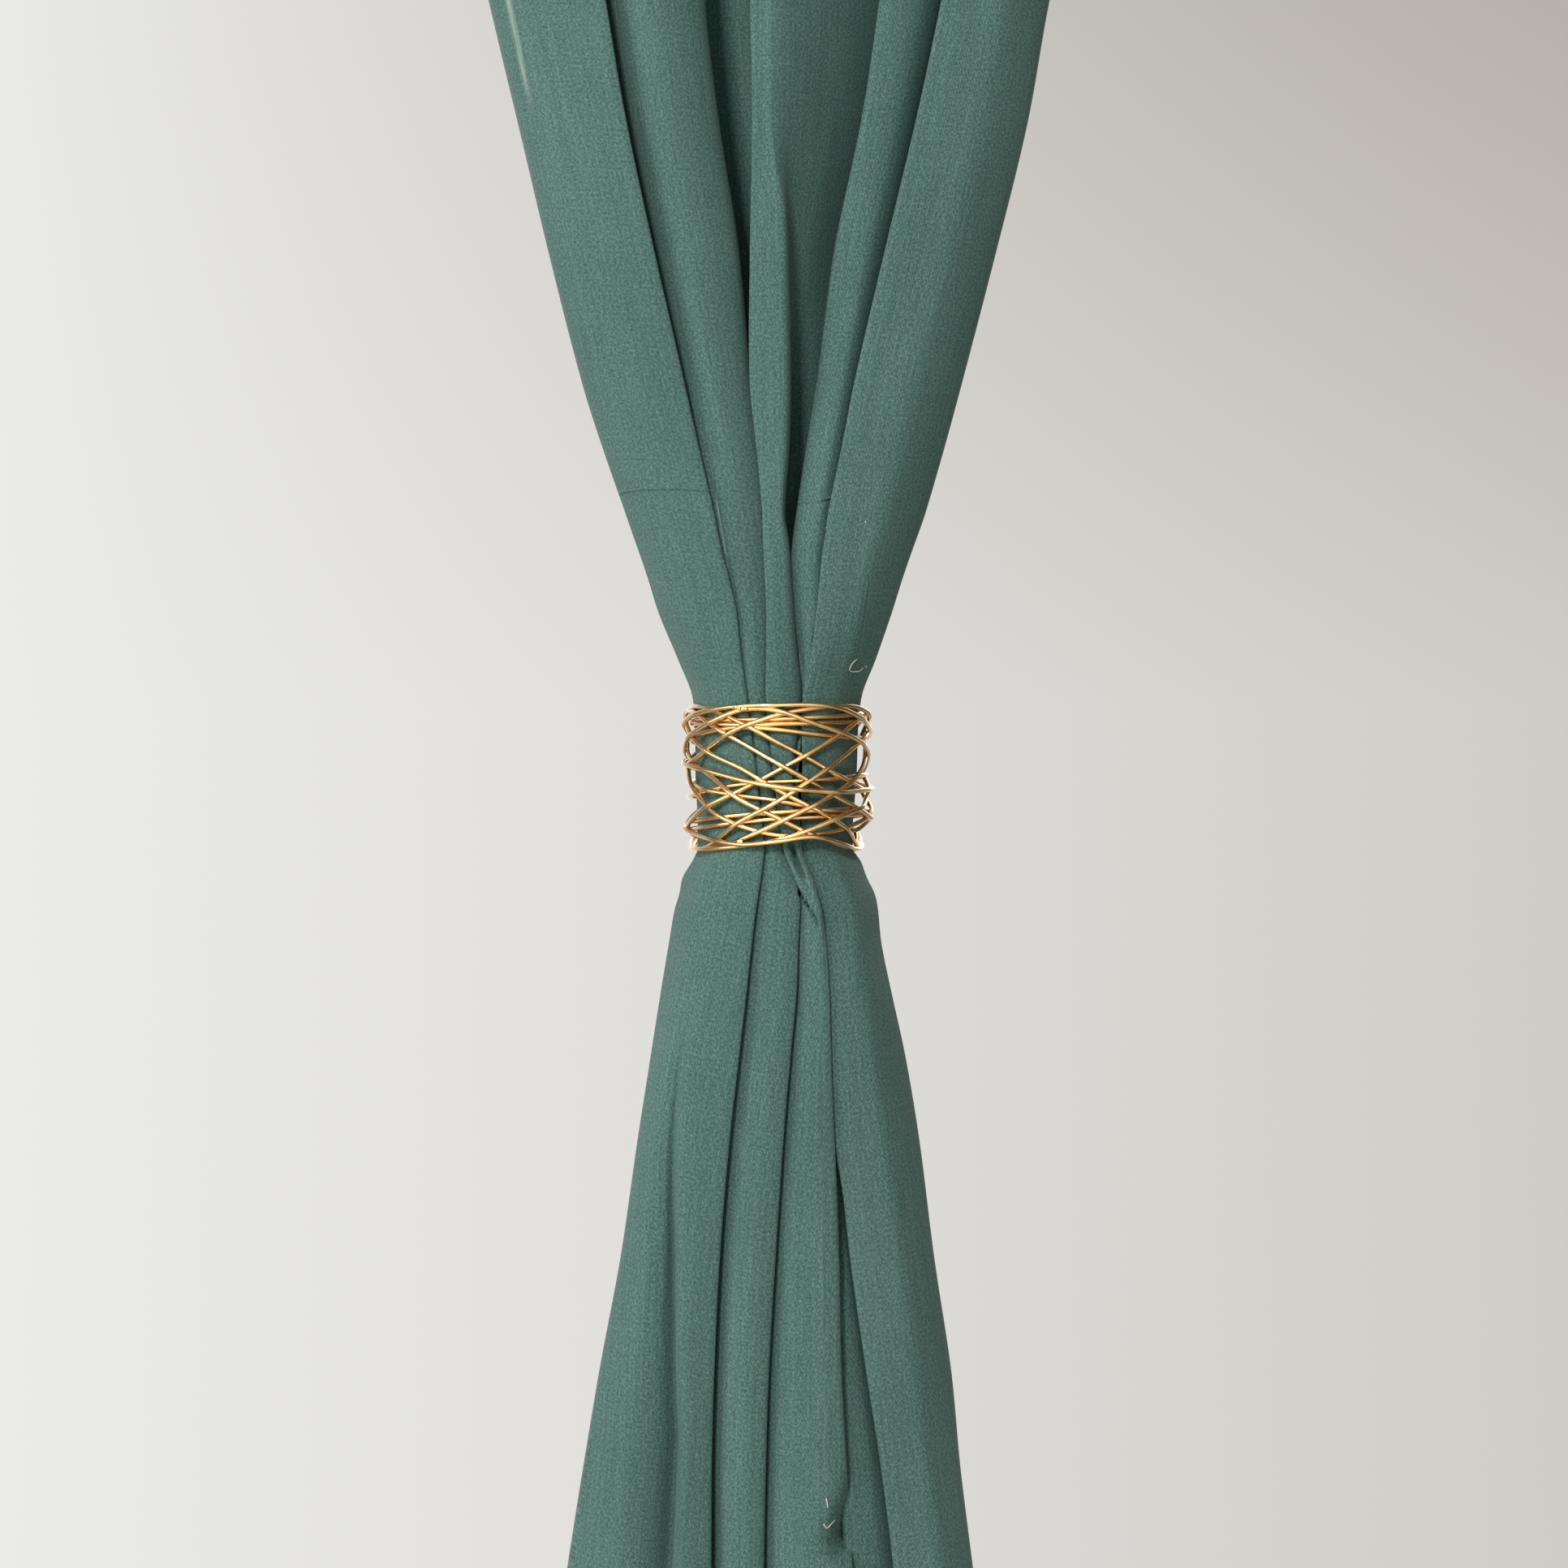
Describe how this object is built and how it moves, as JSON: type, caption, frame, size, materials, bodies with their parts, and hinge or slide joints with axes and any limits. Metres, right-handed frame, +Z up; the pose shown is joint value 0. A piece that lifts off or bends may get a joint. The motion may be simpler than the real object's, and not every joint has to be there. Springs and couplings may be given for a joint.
{
  "type": "cotton curtain gathered in a wire ring",
  "caption": "Narrow cotton curtain that hangs from its top edge, gathers in deep folds through an open ring of wound brass wire and fans out to its hem.",
  "frame": {"origin": "middle of the curtain's top edge, halfway through its folds", "axes": "+Z up along the drop, +X to the right as seen from the front, and the front faces -Y"},
  "size_m": [0.2266, 0.058, 0.7502],
  "materials": {
    "cotton_twill": "piece-dyed teal green cotton twill with slubs, matt and washed",
    "brass_wire": "drawn brass wire, lacquered, satin to bright"
  },
  "bodies": {
    "root": {"curtain": "cotton_twill", "wire_ring": "brass_wire"}
  },
  "joints": []
}
